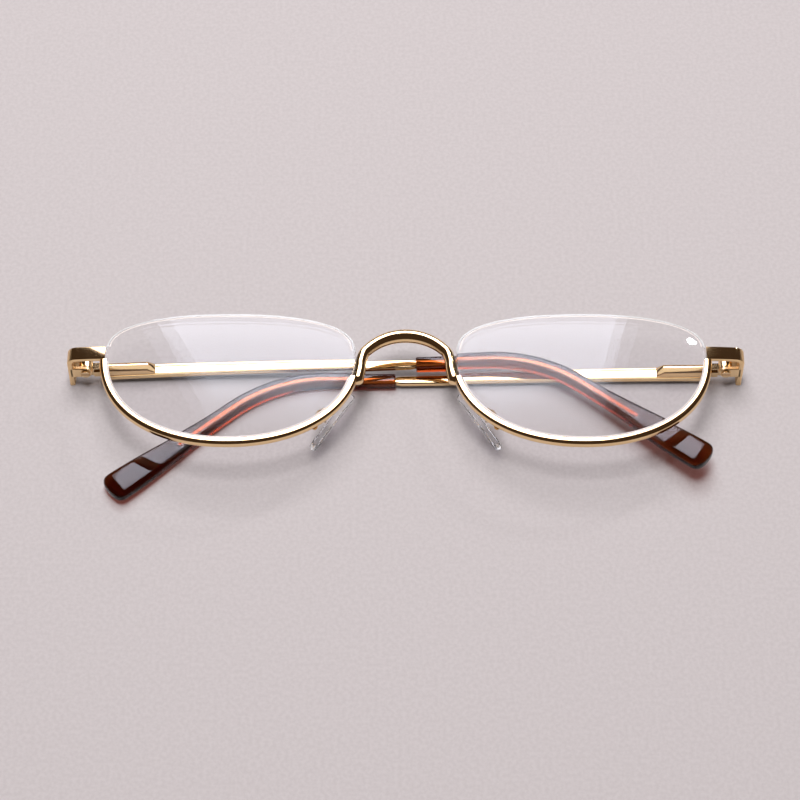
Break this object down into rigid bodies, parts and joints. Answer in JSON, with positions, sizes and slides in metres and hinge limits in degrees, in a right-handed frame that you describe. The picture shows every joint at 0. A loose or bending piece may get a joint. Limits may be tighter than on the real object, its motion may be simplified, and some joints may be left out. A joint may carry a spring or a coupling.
{
  "type": "half-frame reading glasses",
  "caption": "Half-moon reading glasses with lower wire rims, arched bridge, adjustable nose pads and folding sprung temples with plastic tips.",
  "frame": {"origin": "middle of the lowest plane of the folded glasses, at the middle of their width and height as worn", "axes": "+X towards the wearer's left, +Y up as worn, +Z forward as worn; the folded glasses lie on their temples at Z = 0"},
  "size_m": [0.138, 0.0388, 0.0129],
  "materials": {
    "polished_gold": "polished pale gold plating",
    "satin_gold": "satin pale gold plating",
    "screw_gold": "bright turned screw, gold plated",
    "spring_steel": "bright drawn wire",
    "clear_lens": "clear, polished, with a coated front",
    "nylon": "clear drawn nylon",
    "clear_silicone": "clear soft plastic, glossy",
    "amber_acetate": "see-through dark amber plastic, polished"
  },
  "bodies": {
    "front": {"bridge": "polished_gold", "right_rim": "polished_gold", "right_end_piece": "polished_gold", "right_lens": "clear_lens", "right_nylon_cord": "nylon", "right_pad_arm": "polished_gold", "right_pad_screw": "screw_gold", "right_hinge_screw": "screw_gold", "left_rim": "polished_gold", "left_end_piece": "polished_gold", "left_lens": "clear_lens", "left_nylon_cord": "nylon", "left_pad_arm": "polished_gold", "left_pad_screw": "screw_gold", "left_hinge_screw": "screw_gold"},
    "right_pad": {"right_nose_pad": "clear_silicone"},
    "right_eye": {"right_spring_eye": "polished_gold"},
    "right_arm": {"right_temple": "polished_gold", "right_temple_tip": "amber_acetate", "right_spring_box": "satin_gold", "right_hinge_spring": "spring_steel"},
    "left_pad": {"left_nose_pad": "clear_silicone"},
    "left_eye": {"left_spring_eye": "polished_gold"},
    "left_arm": {"left_temple": "polished_gold", "left_temple_tip": "amber_acetate", "left_spring_box": "satin_gold", "left_hinge_spring": "spring_steel"}
  },
  "joints": [
    {"name": "right_temple_fold", "type": "hinge", "parent": "front", "child": "right_eye", "pos_m": [-0.0655, 0.01107, 0.0044], "axis": [-0.0218, 0.9998, 0], "range_deg": [0, 91.5]},
    {"name": "right_spring_travel", "type": "slide", "parent": "right_eye", "child": "right_arm", "axis": [0.9994, 0.0218, 0.0262], "range_m": [0, 0.0012], "stiffness_N_per_m": 2000, "springref_m": -0.001, "deforming": ["right_hinge_spring"]},
    {"name": "right_pad_rock", "type": "hinge", "parent": "front", "child": "right_pad", "pos_m": [-0.01639, -0.0015, 0.00483], "axis": [-0.198, 0.273, -0.9414], "range_deg": [-8, 8]},
    {"name": "left_temple_fold", "type": "hinge", "parent": "front", "child": "left_eye", "pos_m": [0.0655, 0.01107, 0.0044], "axis": [0.0218, -0.9998, 0], "range_deg": [0, 90]},
    {"name": "left_spring_travel", "type": "slide", "parent": "left_eye", "child": "left_arm", "axis": [-0.9998, -0.0218, 0], "range_m": [0, 0.0012], "stiffness_N_per_m": 2000, "springref_m": -0.001, "deforming": ["left_hinge_spring"]},
    {"name": "left_pad_rock", "type": "hinge", "parent": "front", "child": "left_pad", "pos_m": [0.01639, -0.0015, 0.00483], "axis": [0.198, 0.273, -0.9414], "range_deg": [-8, 8]}
  ]
}
